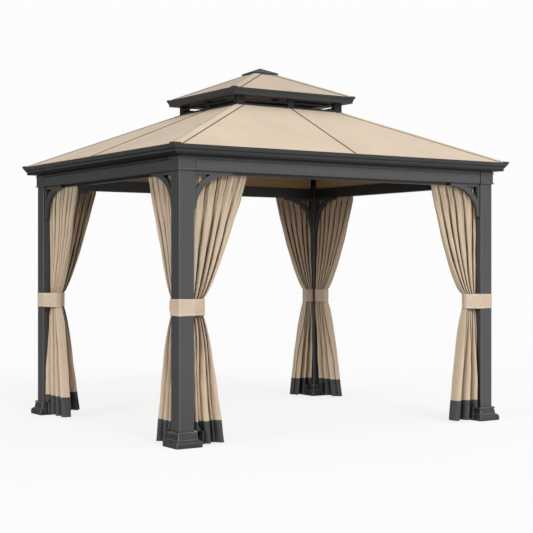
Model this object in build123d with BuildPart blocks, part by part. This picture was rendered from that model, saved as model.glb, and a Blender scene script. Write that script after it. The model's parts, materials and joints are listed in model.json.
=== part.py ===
from build123d import *
from math import atan2, cos, hypot, sin
import os

os.makedirs("parts", exist_ok=True)

# Metal gazebo with a two tier hip roof and tied back curtains.
# The origin is on the ground under the middle of the roof, X runs along the
# long side, -Y is the front, and all sizes are millimetres.

# Footprint over the posts
footprint_x = 3300
footprint_y = 2770

# Posts
post_size = 135
post_corner_radius = 6
base_plate_height = 10
fit_clearance = 0.3

# Plinth of each post
plinth_overhang = 48
plinth_step_height = 38
plinth_cove_height = 22
plinth_cove_depth = 4
plinth_flare = 9
plinth_collar_overhang = 14
plinth_height = 122
plinth_lip_overhang = 19
plinth_lip_height = 13

# Beams
beam_bottom = 2171
beam_box_bottom = 2150
fascia_proud = 4
fascia_thickness = 48
beam_depth = 130
beam_inner_top = 2252
beam_lip_proud = 3
beam_lip_height = 9
bead_line = 2264
bead_line_height = 11
bead_line_proud = 6
track_width = 26
track_height = 20

# Capital round each post top
capital_proud = 8
capital_lip_proud = 6
capital_lip_height = 10

# Eave trim of the lower roof
trim_bottom = 2290
eave_top = 2365
eave_overhang = 112
bead_height = 31
bead_thickness = 12
bead_taper = 16
step_overhang = 90
band_overhang = 77
band_height = 22
ovolo_rise = 2.5
trim_inner_reach = 60
corner_cap_length = 68
corner_cap_height = 10

# Roof panels
panel_thickness = 14

# Opening at the top of the lower roof
ring_x = 1150
ring_y = 1030
roof_rise = 482

# Rafters
hip_rafter_width = 46
mid_rafter_width = 40
rafter_depth = 55
hip_cover_width = 88
hip_cover_height = 4
seam_strip_width = 12
seam_strip_height = 5

# Soffit boards over the beams
board_thickness = 10
board_inset = 12

# Raised vent between the roofs
curb_thickness = 48
curb_depth = 75
curb_stand = 16
vent_height = 66
vent_post_x = 80
vent_post_y = 54
vent_mid_post_x = 62
vent_mid_post_y = 48
vent_post_depth = 22
vent_rail_height = 13
vent_rail_depth = 15

# Upper roof
upper_overhang = 92
upper_trim_height = 58
upper_step_overhang = 87
upper_band_overhang = 73
upper_band_height = 8
upper_bead_height = 12
upper_bead_thickness = 9
upper_bead_taper = 3
upper_cove_depth = 2
upper_cap_length = 45
upper_cap_height = 7
upper_trim_inner_reach = 50
upper_rise = 271
upper_rafter_width = 34
upper_rafter_depth = 36
cap_length = 252
cap_width = 238
cap_thickness = 20

# Knee brackets
bracket_length = 350
bracket_drop = 300
bracket_arm = 27
bracket_band = 44
bracket_thickness = 32
bracket_inset = 14

# Curtains: how far in from the outer face of the post their two faces hang
curtain_outer = 49
curtain_inner = 86
bundle_outer = 60
bundle_inner = 118
foot_outer = -50
foot_inner = 150
curtain_gap = 4
swing_power = 0.75
flare_power = 0.7
hem_top = 195
floor_gap = 12

# Width of each curtain along its beam, at the top, at the tie band and at the foot
front_curtain_width = 545
front_bundle_width = 130
front_foot_width = 285
back_curtain_width = 455
back_bundle_width = 95
back_foot_width = 270
side_front_curtain_width = 500
side_front_bundle_width = 112
side_front_foot_width = 260
side_back_curtain_width = 620
side_back_bundle_width = 165
side_back_foot_width = 420

# Tie bands
band_bottom = 1026
band_width = 136
strap_thickness = 5

ring_top = eave_top + roof_rise
vent_floor = ring_top + curb_stand
upper_trim_bottom = vent_floor + vent_height
upper_eave_top = upper_trim_bottom + upper_trim_height
apex_height = upper_eave_top + upper_rise
very_tall = 4 * apex_height
half_x = footprint_x / 2
half_y = footprint_y / 2
half_ring_x = ring_x / 2
half_ring_y = ring_y / 2
capital_lip_reach = post_size + capital_proud + capital_lip_proud
curtain_middle = (curtain_outer + curtain_inner) / 2
curtain_thickness = curtain_inner - curtain_outer
track_start = curtain_middle - track_width / 2
track_end = curtain_middle + track_width / 2
band_top = band_bottom + band_width
inner_bracket_foot = beam_box_bottom - bracket_drop

UP = Vector(0, 0, 1)
DOWN = (0, 0, -1)

# Each side: the way in from that side, and how far out its outer face stands.
SIDES = {
    "front": Vector(0, 1, 0),
    "right": Vector(-1, 0, 0),
    "back": Vector(0, -1, 0),
    "left": Vector(1, 0, 0),
}
CORNERS = {
    "front_left": (-1, -1),
    "front_right": (1, -1),
    "back_left": (-1, 1),
    "back_right": (1, 1),
}

# Widths of the curtains by the corner's Y sign and by whether they run along Y.
RUNS = {
    (-1, False): (front_curtain_width, front_bundle_width, front_foot_width),
    (1, False): (back_curtain_width, back_bundle_width, back_foot_width),
    (-1, True): (side_front_curtain_width, side_front_bundle_width, side_front_foot_width),
    (1, True): (side_back_curtain_width, side_back_bundle_width, side_back_foot_width),
}


def along(side):
    return SIDES[side].cross(UP)


def reach(side, x_size, y_size):
    """Distance from the middle to a side of a rectangle of these half sizes."""
    return x_size if side in ("left", "right") else y_size


def half_length(side, x_size, y_size):
    """Half the length of a side of a rectangle of these half sizes."""
    return y_size if side in ("left", "right") else x_size


def section_plane(side, x_size, y_size):
    """Upright plane across a side: local X runs inwards, local Y runs up."""
    origin = SIDES[side] * -reach(side, x_size, y_size)
    return Plane(origin=origin, x_dir=SIDES[side], z_dir=along(side))


def save(builder, name):
    builder.part.label = name
    export_step(builder.part, f"parts/{name}.step")


class Tier:
    """One hip roof: its top surface runs from an eave rectangle to an inner one."""

    def __init__(self, eave_x, eave_y, eave_z, inner_x, inner_y, inner_z):
        self.eave_x = eave_x
        self.eave_y = eave_y
        self.eave_z = eave_z
        self.inner_x = inner_x
        self.inner_y = inner_y
        self.rise = inner_z - eave_z

    def run(self, side):
        return reach(side, self.eave_x, self.eave_y) - reach(side, self.inner_x, self.inner_y)

    def slope(self, side):
        return self.rise / self.run(side)

    def top_at(self, side, inward):
        """Height of the top surface at a distance in from the eave line."""
        return self.eave_z + inward * self.slope(side)

    def plane(self, side, lift):
        """Plane of one roof face, raised by lift: local Y runs up the slope."""
        tilt = atan2(self.rise, self.run(side))
        origin = SIDES[side] * -reach(side, self.eave_x, self.eave_y) + UP * (self.eave_z + lift)
        normal = UP * cos(tilt) - SIDES[side] * sin(tilt)
        return Plane(origin=origin, x_dir=along(side), z_dir=normal)

    def local(self, side, point):
        """Local coordinates on a roof face of a point given in plan."""
        tilt = atan2(self.rise, self.run(side))
        place = Vector(point[0], point[1], 0)
        inward = place.dot(SIDES[side]) + reach(side, self.eave_x, self.eave_y)
        return (place.dot(along(side)), inward / cos(tilt))

    def half_span(self, side, inward):
        """Half the length of a roof face at a distance in from its eave line."""
        full = half_length(side, self.eave_x, self.eave_y)
        short = half_length(side, self.inner_x, self.inner_y)
        return full - (full - short) * inward / self.run(side)

    def patch(self, side, points, lift):
        """Flat face on one roof side whose plan outline is the given points."""
        with BuildSketch(self.plane(side, lift)) as outline:
            with BuildLine():
                Polyline(*[self.local(side, point) for point in points], close=True)
            make_face()
        return outline.sketch

    def hip(self, corner):
        """Plan points of the outer and inner end of a hip."""
        x_sign, y_sign = CORNERS[corner]
        outer = (x_sign * self.eave_x, y_sign * self.eave_y)
        inner = (x_sign * self.inner_x, y_sign * self.inner_y)
        return outer, inner

    def hip_halves(self, corner, width):
        """The two halves of a strip along a hip, each with the side it lies on."""
        outer, inner = self.hip(corner)
        x_sign, y_sign = CORNERS[corner]
        run = hypot(inner[0] - outer[0], inner[1] - outer[1])
        across = ((inner[1] - outer[1]) / run, (outer[0] - inner[0]) / run)
        if across[0] * x_sign > 0:
            across = (-across[0], -across[1])
        shift = (across[0] * width / 2, across[1] * width / 2)
        y_side = "front" if y_sign < 0 else "back"
        x_side = "left" if x_sign < 0 else "right"
        y_half = [outer, inner, move(inner, shift, 1), move(outer, shift, 1)]
        x_half = [outer, inner, move(inner, shift, -1), move(outer, shift, -1)]
        return (y_side, y_half), (x_side, x_half)


def move(point, shift, factor):
    return (point[0] + shift[0] * factor, point[1] + shift[1] * factor)


eave_setback = bead_thickness
lower = Tier(
    half_x + eave_overhang - eave_setback,
    half_y + eave_overhang - eave_setback,
    eave_top,
    half_ring_x,
    half_ring_y,
    ring_top,
)

upper_setback = upper_bead_thickness
upper = Tier(
    half_ring_x + upper_overhang - upper_setback,
    half_ring_y + upper_overhang - upper_setback,
    upper_eave_top,
    0,
    0,
    apex_height,
)


def post_centre(corner):
    x_sign, y_sign = CORNERS[corner]
    return (x_sign * (half_x - post_size / 2), y_sign * (half_y - post_size / 2))


def square_moulding(points, cove, sagitta):
    """Closed outline of a moulding, both sides; one of its edges may be a cove."""
    with BuildSketch(Plane.XZ) as outline:
        with BuildLine():
            Polyline(*points[:cove + 1])
            if cove + 1 < len(points):
                SagittaArc(points[cove], points[cove + 1], sagitta)
                Polyline(*points[cove + 1:])
            Line(points[-1], (0, points[-1][1]))
            Line((0, points[-1][1]), (0, points[0][1]))
            Line((0, points[0][1]), points[0])
        make_face()
        mirror(about=Plane.YZ)
    return outline.sketch


def make_post(corner):
    x, y = post_centre(corner)
    with BuildPart() as post:
        with BuildSketch(Plane.XY.offset(base_plate_height)):
            with Locations((x, y)):
                RectangleRounded(post_size, post_size, post_corner_radius)
        extrude(amount=trim_bottom - base_plate_height)
    save(post, f"post_{corner}")


def make_plinth(corner):
    """Square plinth whose stepped and coved outline is cut on all four sides."""
    x, y = post_centre(corner)
    half_post = post_size / 2
    step = half_post + plinth_overhang
    collar = half_post + plinth_collar_overhang
    lip = half_post + plinth_lip_overhang
    cove_top = plinth_step_height + plinth_cove_height
    points = [
        (step, 0),
        (step, plinth_step_height),
        (collar + plinth_flare, cove_top),
        (collar, plinth_height - plinth_lip_height),
        (lip, plinth_height - plinth_lip_height),
        (lip, plinth_height),
    ]
    outline = square_moulding(points, 1, -plinth_cove_depth)
    with BuildPart() as plinth:
        extrude(to_extrude=outline.moved(Location((x, y, 0))), amount=step, both=True)
        turned = outline.rotate(Axis.Z, 90).moved(Location((x, y, 0)))
        extrude(to_extrude=turned, amount=step, both=True, mode=Mode.INTERSECT)
        with BuildSketch(Plane.XY.offset(base_plate_height)):
            with Locations((x, y)):
                Rectangle(post_size + 2 * fit_clearance, post_size + 2 * fit_clearance)
        extrude(amount=plinth_height, mode=Mode.SUBTRACT)
    save(plinth, f"plinth_{corner}")


def make_capital(corner):
    """Collar round the post top, at the height of the beams that butt against it."""
    x, y = post_centre(corner)
    face = post_size / 2 + capital_proud
    lip = face + capital_lip_proud
    points = [
        (lip, beam_bottom),
        (lip, beam_bottom + capital_lip_height),
        (face, beam_bottom + capital_lip_height),
        (face, bead_line),
        (lip, bead_line),
        (lip, bead_line + bead_line_height),
        (face, bead_line + bead_line_height),
        (face, trim_bottom),
    ]
    outline = square_moulding(points, len(points) - 1, 0)
    with BuildPart() as capital:
        extrude(to_extrude=outline.moved(Location((x, y, 0))), amount=lip, both=True)
        turned = outline.rotate(Axis.Z, 90).moved(Location((x, y, 0)))
        extrude(to_extrude=turned, amount=lip, both=True, mode=Mode.INTERSECT)
        with BuildSketch(Plane.XY.offset(beam_bottom)):
            with Locations((x, y)):
                Rectangle(post_size + 2 * fit_clearance, post_size + 2 * fit_clearance)
        extrude(amount=trim_bottom, mode=Mode.SUBTRACT)
    save(capital, f"capital_{corner}")


def make_beam(side):
    """Beam with a moulded fascia, a lower box behind it and a curtain track below."""
    outer = -fascia_proud
    track_top = beam_box_bottom + track_height
    outline = [
        (outer - beam_lip_proud, beam_bottom),
        (fascia_thickness, beam_bottom),
        (fascia_thickness, beam_box_bottom),
        (track_start, beam_box_bottom),
        (track_start, track_top),
        (track_end, track_top),
        (track_end, beam_box_bottom),
        (beam_depth, beam_box_bottom),
        (beam_depth, beam_inner_top),
        (fascia_thickness, beam_inner_top),
        (fascia_thickness, trim_bottom),
        (outer, trim_bottom),
        (outer, bead_line + bead_line_height),
        (outer - bead_line_proud, bead_line + bead_line_height),
        (outer - bead_line_proud, bead_line),
        (outer, bead_line),
        (outer, beam_bottom + beam_lip_height),
        (outer - beam_lip_proud, beam_bottom + beam_lip_height),
    ]
    length = half_length(side, half_x, half_y) - capital_lip_reach
    with BuildPart() as beam:
        with BuildSketch(section_plane(side, half_x, half_y)):
            with BuildLine():
                Polyline(*outline, close=True)
            make_face()
        extrude(amount=length, both=True)
    save(beam, f"beam_{side}")


def trim_back(tier, setback, top, bottom, back):
    """Hidden part of a trim's outline, with a top that carries the roof panels."""
    flattest = min(tier.slope("front"), tier.slope("left"))
    seat = top - panel_thickness
    return [
        (back, bottom),
        (back, seat + flattest * (setback + back)),
        (-setback, seat),
        (-setback, top),
    ]


def make_trim(points, arc, rise, side, x_size, y_size, overhang):
    """One side of an eave trim, mitred at both ends; the edge after point arc is curved."""
    far = half_length(side, x_size, y_size) + overhang
    out = reach(side, x_size, y_size) + overhang
    depth = min(x_size, y_size) / 2
    with BuildPart() as trim:
        with BuildSketch(section_plane(side, x_size, y_size)):
            with BuildLine():
                Polyline(*points[:arc + 1])
                SagittaArc(points[arc], points[arc + 1], rise)
                Polyline(*points[arc + 1:], points[0])
            make_face()
        extrude(amount=far, both=True)
        with BuildSketch(Plane(origin=(0, 0, 0), x_dir=along(side), z_dir=(0, 0, 1))):
            with BuildLine():
                Polyline(
                    (-far, -out),
                    (far, -out),
                    (far - depth, depth - out),
                    (depth - far, depth - out),
                    close=True,
                )
            make_face()
        extrude(amount=very_tall, mode=Mode.INTERSECT)
    return trim


def make_corner_caps(name, out_x, out_y, width, length, base, height):
    """Small angle pieces that cover the mitres on top of an eave trim."""
    with BuildPart() as caps:
        with BuildSketch(Plane.XY.offset(base)):
            with GridLocations(2 * out_x - length, 2 * out_y - length, 2, 2):
                Rectangle(length, length)
            Rectangle(2 * (out_x - width), 2 * (out_y - width), mode=Mode.SUBTRACT)
        extrude(amount=height)
    save(caps, name)


def make_lower_panel(side):
    """One flat face of the lower roof, from the eave up to the vent curb."""
    far = half_length(side, lower.eave_x, lower.eave_y)
    near = half_length(side, lower.inner_x, lower.inner_y)
    out = reach(side, lower.eave_x, lower.eave_y)
    top = reach(side, lower.inner_x, lower.inner_y)
    way_in = SIDES[side]
    way = along(side)
    corners = [(-far, out), (far, out), (near, top), (-near, top)]
    points = [way * u - way_in * v for u, v in corners]
    with BuildPart() as panel:
        outline = lower.patch(side, [(p.X, p.Y) for p in points], 0)
        extrude(to_extrude=outline, amount=panel_thickness, dir=DOWN)
    save(panel, f"roof_panel_{side}")


def make_upper_panel(side):
    """One triangular face of the upper roof, from the eave up to the apex."""
    far = half_length(side, upper.eave_x, upper.eave_y)
    out = reach(side, upper.eave_x, upper.eave_y)
    ends = [along(side) * u - SIDES[side] * out for u in (-far, far)]
    with BuildPart() as panel:
        outline = upper.patch(side, [(p.X, p.Y) for p in ends] + [(0, 0)], 0)
        extrude(to_extrude=outline, amount=panel_thickness, dir=DOWN)
    save(panel, f"upper_panel_{side}")
    return panel


def strip_points(tier, side, width, start, end):
    """Plan outline of a strip up the middle of a roof face."""
    out = reach(side, tier.eave_x, tier.eave_y)
    corners = [(-width / 2, start), (width / 2, start), (width / 2, end), (-width / 2, end)]
    points = [along(side) * u + SIDES[side] * (v - out) for u, v in corners]
    return [(p.X, p.Y) for p in points]


def make_lower_rafters():
    """Hip rafters and middle rafters under the lower roof."""
    trim_face_x = half_x - trim_inner_reach
    trim_face_y = half_y - trim_inner_reach
    with BuildPart() as hips:
        for corner in CORNERS:
            for side, half in lower.hip_halves(corner, hip_rafter_width):
                extrude(
                    to_extrude=lower.patch(side, half, -panel_thickness),
                    amount=rafter_depth,
                    dir=DOWN,
                )
        Box(2 * trim_face_x, 2 * trim_face_y, very_tall, mode=Mode.INTERSECT)
        Box(ring_x, ring_y, very_tall, mode=Mode.SUBTRACT)
    save(hips, "hip_rafters")
    with BuildPart() as middles:
        for side in SIDES:
            points = strip_points(
                lower,
                side,
                mid_rafter_width,
                lower_setback(side),
                lower.run(side),
            )
            extrude(
                to_extrude=lower.patch(side, points, -panel_thickness),
                amount=rafter_depth,
                dir=DOWN,
            )
    save(middles, "mid_rafters")
    return hips, middles


def lower_setback(side):
    """Distance in plan from the eave line to the inner face of the trim."""
    return reach(side, lower.eave_x, lower.eave_y) - reach(side, half_x, half_y) + trim_inner_reach


def make_hip_covers(name, tier, clear_x, clear_y):
    """Folded covers along the four hips of a roof, clear of what stands at its middle."""
    with BuildPart() as covers:
        for corner in CORNERS:
            for side, half in tier.hip_halves(corner, hip_cover_width):
                extrude(
                    to_extrude=tier.patch(side, half, 0),
                    amount=hip_cover_height,
                    dir=(0, 0, 1),
                )
        Box(2 * tier.eave_x, 2 * tier.eave_y, very_tall, mode=Mode.INTERSECT)
        Box(clear_x, clear_y, very_tall, mode=Mode.SUBTRACT)
    save(covers, name)


def make_seam_strips():
    """Narrow strips over the middle seams of the lower roof."""
    with BuildPart() as strips:
        for side in SIDES:
            points = strip_points(lower, side, seam_strip_width, 0, lower.run(side))
            extrude(
                to_extrude=lower.patch(side, points, 0),
                amount=seam_strip_height,
                dir=(0, 0, 1),
            )
    save(strips, "seam_strips")


def make_soffit_boards(hips, middles):
    """Tan boards that close the gap between each beam and the roof panel over it."""
    with BuildPart() as boards:
        for side in SIDES:
            inset = beam_depth - board_inset - board_thickness
            inward = inset + eave_overhang - eave_setback
            half_board = min(
                half_length(side, half_x, half_y) - capital_lip_reach,
                lower.half_span(side, inward + board_thickness),
            )
            height = lower.top_at(side, inward) - panel_thickness - beam_inner_top
            middle = SIDES[side] * (inset + board_thickness / 2 - reach(side, half_x, half_y))
            place = Plane(
                origin=middle + UP * (beam_inner_top + height / 2),
                x_dir=along(side),
                z_dir=UP,
            )
            with Locations(place):
                Box(2 * half_board, board_thickness, height)
        add(hips.part, mode=Mode.SUBTRACT)
        add(middles.part, mode=Mode.SUBTRACT)
    save(boards, "soffit_boards")


def make_vent_frame():
    """Curb on the lower roof with the short posts and the thin rail of the vent."""
    wall = curb_thickness
    with BuildPart() as vent:
        with BuildSketch(Plane.XY.offset(vent_floor - curb_depth)):
            Rectangle(ring_x, ring_y)
            Rectangle(ring_x - 2 * wall, ring_y - 2 * wall, mode=Mode.SUBTRACT)
        extrude(amount=curb_depth)
        with BuildSketch(Plane.XY.offset(vent_floor)):
            with GridLocations(ring_x - vent_post_x, ring_y - vent_post_y, 2, 2):
                Rectangle(vent_post_x, vent_post_y)
            with GridLocations(0, ring_y - vent_post_depth, 1, 2):
                Rectangle(vent_mid_post_x, vent_post_depth)
            with GridLocations(ring_x - vent_post_depth, 0, 2, 1):
                Rectangle(vent_post_depth, vent_mid_post_y)
        extrude(amount=vent_height)
        rail_base = vent_floor + (vent_height - vent_rail_height) / 2
        with BuildSketch(Plane.XY.offset(rail_base)):
            Rectangle(ring_x, ring_y)
            Rectangle(
                ring_x - 2 * vent_rail_depth,
                ring_y - 2 * vent_rail_depth,
                mode=Mode.SUBTRACT,
            )
        extrude(amount=vent_rail_height)
    save(vent, "vent_frame")


def make_upper_rafters(panels):
    """Four rafters that meet under the apex of the upper roof."""
    inner_x = half_ring_x - upper_trim_inner_reach
    inner_y = half_ring_y - upper_trim_inner_reach
    with BuildPart() as rafters:
        for corner in CORNERS:
            for side, half in upper.hip_halves(corner, upper_rafter_width):
                extrude(
                    to_extrude=upper.patch(side, half, -panel_thickness),
                    amount=upper_rafter_depth,
                    dir=DOWN,
                )
        Box(2 * inner_x, 2 * inner_y, very_tall, mode=Mode.INTERSECT)
        for panel in panels:
            add(panel.part, mode=Mode.SUBTRACT)
    save(rafters, "upper_rafters")


def make_cap():
    """Low pyramid that covers the meeting point of the upper panels."""
    with BuildPart() as cap:
        for side in SIDES:
            far = half_length(side, cap_length / 2, cap_width / 2)
            out = reach(side, cap_length / 2, cap_width / 2)
            ends = [along(side) * u - SIDES[side] * out for u in (-far, far)]
            outline = upper.patch(side, [(p.X, p.Y) for p in ends] + [(0, 0)], 0)
            extrude(to_extrude=outline, amount=cap_thickness, dir=(0, 0, 1))
    save(cap, "roof_cap")


def bracket_planes(corner, middle, top):
    """Planes of the two knee brackets whose middles stand this far in from a post's outer faces."""
    x_sign, y_sign = CORNERS[corner]
    x_face = x_sign * (half_x - post_size)
    y_face = y_sign * (half_y - post_size)
    return (
        Plane(
            origin=(x_face, y_sign * (half_y - middle), top),
            x_dir=(-x_sign, 0, 0),
            z_dir=(0, x_sign, 0),
        ),
        Plane(
            origin=(x_sign * (half_x - middle), y_face, top),
            x_dir=(0, -y_sign, 0),
            z_dir=(-y_sign, 0, 0),
        ),
    )


def make_brackets(corner):
    """Knee brackets: under each beam one outside the curtain and one inside it."""
    outer = bracket_inset + bracket_thickness / 2
    planes = bracket_planes(corner, outer, beam_bottom)
    planes += bracket_planes(corner, post_size - outer, beam_box_bottom)
    sweep_x = bracket_length - bracket_arm
    sweep_y = bracket_drop - bracket_arm
    with BuildSketch() as window:
        with Locations((bracket_length, -bracket_drop)):
            Rectangle(2 * sweep_x, 2 * sweep_y)
            Ellipse(sweep_x + bracket_band, sweep_y + bracket_band, mode=Mode.SUBTRACT)
        with Locations((bracket_length / 2, -bracket_drop / 2)):
            Rectangle(bracket_length, bracket_drop, mode=Mode.INTERSECT)
    with BuildSketch() as outline:
        with Locations((bracket_length / 2, -bracket_drop / 2)):
            Rectangle(bracket_length, bracket_drop)
        with Locations((bracket_length, -bracket_drop)):
            Ellipse(sweep_x, sweep_y, mode=Mode.SUBTRACT)
        add(window.sketch, mode=Mode.SUBTRACT)
    with BuildPart() as brackets:
        for plane in planes:
            placed = plane * outline.sketch
            extrude(to_extrude=placed, amount=bracket_thickness / 2, both=True)
    save(brackets, f"brackets_{corner}")


def between(first, last, share):
    return first + (last - first) * share


def curtain_size(height, run):
    """Start, end, outer and inner face of a tied curtain at a height above the ground."""
    top, bundle, foot = run
    if height > band_top:
        share = (height - band_top) / (beam_box_bottom - band_top)
        settled = min(1, (height - band_top) / (inner_bracket_foot - band_top))
        width = between(bundle, top, share ** swing_power)
        outer = between(bundle_outer, curtain_outer, settled)
        inner = between(bundle_inner, curtain_inner, settled)
    else:
        share = max(0, band_bottom - height) / (band_bottom - floor_gap)
        width = between(bundle, foot, share ** flare_power)
        outer = between(bundle_outer, foot_outer, share ** flare_power)
        inner = between(bundle_inner, foot_inner, share ** flare_power)
    start = max(curtain_gap, inner - post_size + curtain_gap)
    if height < hem_top:
        start = max(start, plinth_overhang + curtain_gap)
    if height > beam_box_bottom - 2 * curtain_thickness:
        start = max(start, capital_proud + capital_lip_proud + curtain_gap)
    return post_size + start, post_size + width, outer, inner


def corner_point(corner, point):
    """World plan point of a place measured in from the outer corner of a post."""
    x_sign, y_sign = CORNERS[corner]
    return (x_sign * (half_x - point[0]), y_sign * (half_y - point[1]))


def curtain_levels(low, high, count):
    return [low + (high - low) * step / count for step in range(count + 1)]


def make_cloth(corner, swap, sections):
    """Solid of one curtain: its outline seen square on, crossed with the one seen edge on."""
    x_sign, y_sign = CORNERS[corner]
    turned = list(reversed(sections))
    wide = [(start, height) for height, start, end, outer, inner in sections]
    wide += [(end, height) for height, start, end, outer, inner in turned]
    thin = [(outer, height) for height, start, end, outer, inner in sections]
    thin += [(inner, height) for height, start, end, outer, inner in turned]
    along_x, along_y = (thin, wide) if swap else (wide, thin)
    with BuildPart() as cloth:
        with BuildSketch(Plane.XZ):
            with BuildLine():
                Polyline(*[(x_sign * (half_x - u), h) for u, h in along_x], close=True)
            make_face()
        extrude(amount=footprint_y, both=True)
        with BuildSketch(Plane.YZ):
            with BuildLine():
                Polyline(*[(y_sign * (half_y - v), h) for v, h in along_y], close=True)
            make_face()
        extrude(amount=footprint_x, both=True, mode=Mode.INTERSECT)
    return cloth


def curtain_sections(run):
    """Sizes of one curtain from its hem up to the heading in the track."""
    heights = curtain_levels(hem_top, band_bottom, 5)
    heights += curtain_levels(band_top, inner_bracket_foot, 4)
    heights += curtain_levels(inner_bracket_foot, beam_box_bottom - curtain_thickness, 2)[1:]
    sections = [(height, *curtain_size(height, run)) for height in heights]
    start, end, outer, inner = curtain_size(beam_box_bottom, run)
    outer = track_start + fit_clearance
    inner = track_end - fit_clearance
    for height in (beam_box_bottom - 3 * fit_clearance, beam_box_bottom + track_height):
        sections.append((height, start, end, outer, inner))
    return sections


def hem_sections(run):
    """Sizes of one hem from its lower edge up to the curtain."""
    sections = []
    for height in (floor_gap, hem_top):
        start, end, outer, inner = curtain_size(height, run)
        start = max(start, post_size + plinth_overhang + curtain_gap)
        sections.append((height, start, end, outer, inner))
    return sections


def make_pair(name, corner, sections):
    """The curtains or the hems of both runs at one post, as plain outer shapes."""
    y_sign = CORNERS[corner][1]
    first = make_cloth(corner, False, sections(RUNS[y_sign, False]))
    second = make_cloth(corner, True, sections(RUNS[y_sign, True]))
    with BuildPart() as pair:
        add(first.part)
        add(second.part)
    save(pair, f"{name}_{corner}")


def grown(points, amount):
    """Outline moved outwards by an amount; its points run anticlockwise."""
    moved = []
    for index, point in enumerate(points):
        before = Vector(*points[index - 1])
        here = Vector(*point)
        after = Vector(*points[(index + 1) % len(points)])
        way_in = (here - before).normalized()
        way_out = (after - here).normalized()
        side_in = way_in.cross(UP)
        side_out = way_out.cross(UP)
        mitre = (side_in + side_out) * (1 / (1 + side_in.dot(side_out)))
        place = here + mitre * amount
        moved.append((place.X, place.Y))
    return moved


def make_tie_band(corner):
    """Strap round the post and both bundles; its ends meet the post's inner corner."""
    y_sign = CORNERS[corner][1]
    near = bundle_outer
    far = bundle_inner
    x_end = post_size + RUNS[y_sign, False][1]
    y_end = post_size + RUNS[y_sign, True][1]
    ring = [
        (0, 0),
        (post_size, 0),
        (x_end, near),
        (x_end, far),
        (far, far),
        (far, y_end),
        (near, y_end),
        (0, post_size),
    ]
    inner_corner = corner_point(corner, (far, far))
    end_gap = post_size - far + fit_clearance
    with BuildPart() as band:
        for amount, mode in (
            (fit_clearance + strap_thickness, Mode.ADD),
            (fit_clearance, Mode.SUBTRACT),
        ):
            places = [corner_point(corner, point) for point in grown(ring, amount)]
            with BuildSketch(Plane.XY.offset(band_bottom)):
                with BuildLine():
                    Polyline(*places, close=True)
                make_face()
            extrude(amount=band_width, mode=mode)
        with Locations((inner_corner[0], inner_corner[1], band_bottom + band_width / 2)):
            Box(2 * end_gap, 2 * end_gap, band_width, mode=Mode.SUBTRACT)
    save(band, f"tie_band_{corner}")


lower_trim_points = [
    (-eave_overhang, eave_top),
    (bead_taper - eave_overhang, eave_top - bead_height),
    (-step_overhang, eave_top - bead_height),
    (-band_overhang, trim_bottom + band_height),
    (-band_overhang, trim_bottom),
] + trim_back(lower, eave_overhang - eave_setback, eave_top, trim_bottom, trim_inner_reach)

upper_trim_points = [
    (-upper_overhang, upper_eave_top),
    (upper_bead_taper - upper_overhang, upper_eave_top - upper_bead_height),
    (-upper_step_overhang, upper_eave_top - upper_bead_height),
    (-upper_band_overhang, upper_trim_bottom + upper_band_height),
    (-upper_band_overhang, upper_trim_bottom),
] + trim_back(
    upper,
    upper_overhang - upper_setback,
    upper_eave_top,
    upper_trim_bottom,
    upper_trim_inner_reach,
)

for corner_name in CORNERS:
    make_post(corner_name)
    make_plinth(corner_name)
    make_capital(corner_name)
    make_brackets(corner_name)
    make_pair("curtains", corner_name, curtain_sections)
    make_pair("hems", corner_name, hem_sections)
    make_tie_band(corner_name)

for side_name in SIDES:
    make_beam(side_name)
    make_lower_panel(side_name)
    lower_trim = make_trim(
        lower_trim_points,
        2,
        -ovolo_rise,
        side_name,
        half_x,
        half_y,
        eave_overhang,
    )
    save(lower_trim, f"eave_trim_{side_name}")

with BuildPart() as upper_trim:
    for side_name in SIDES:
        length = make_trim(
            upper_trim_points,
            2,
            upper_cove_depth,
            side_name,
            half_ring_x,
            half_ring_y,
            upper_overhang,
        )
        add(length.part)
save(upper_trim, "upper_eave_trim")

make_corner_caps(
    "eave_corner_caps",
    half_x + eave_overhang,
    half_y + eave_overhang,
    bead_thickness,
    corner_cap_length,
    eave_top,
    corner_cap_height,
)
make_corner_caps(
    "upper_corner_caps",
    half_ring_x + upper_overhang,
    half_ring_y + upper_overhang,
    upper_bead_thickness,
    upper_cap_length,
    upper_eave_top,
    upper_cap_height,
)
hip_rafters, middle_rafters = make_lower_rafters()
make_soffit_boards(hip_rafters, middle_rafters)
make_hip_covers("hip_covers", lower, ring_x, ring_y)
make_hip_covers("upper_hip_covers", upper, cap_length, cap_width)
make_seam_strips()
make_vent_frame()
make_upper_rafters([make_upper_panel(side_name) for side_name in SIDES])
make_cap()
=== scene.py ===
import json
import math

import bpy
import numpy as np
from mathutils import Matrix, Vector


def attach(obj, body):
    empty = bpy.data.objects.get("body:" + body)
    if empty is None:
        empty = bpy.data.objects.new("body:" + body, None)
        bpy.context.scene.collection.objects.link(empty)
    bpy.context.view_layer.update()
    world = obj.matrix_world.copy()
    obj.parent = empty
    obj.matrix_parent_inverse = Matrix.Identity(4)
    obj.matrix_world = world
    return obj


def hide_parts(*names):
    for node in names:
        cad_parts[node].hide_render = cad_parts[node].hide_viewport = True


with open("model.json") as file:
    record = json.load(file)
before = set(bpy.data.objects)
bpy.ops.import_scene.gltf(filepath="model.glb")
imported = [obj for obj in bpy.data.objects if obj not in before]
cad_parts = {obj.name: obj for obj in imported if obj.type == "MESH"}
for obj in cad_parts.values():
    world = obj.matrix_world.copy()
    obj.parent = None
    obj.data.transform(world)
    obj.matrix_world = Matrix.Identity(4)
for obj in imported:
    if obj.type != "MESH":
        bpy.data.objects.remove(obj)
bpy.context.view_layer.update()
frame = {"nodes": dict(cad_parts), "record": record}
nodes = frame["nodes"]

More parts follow.
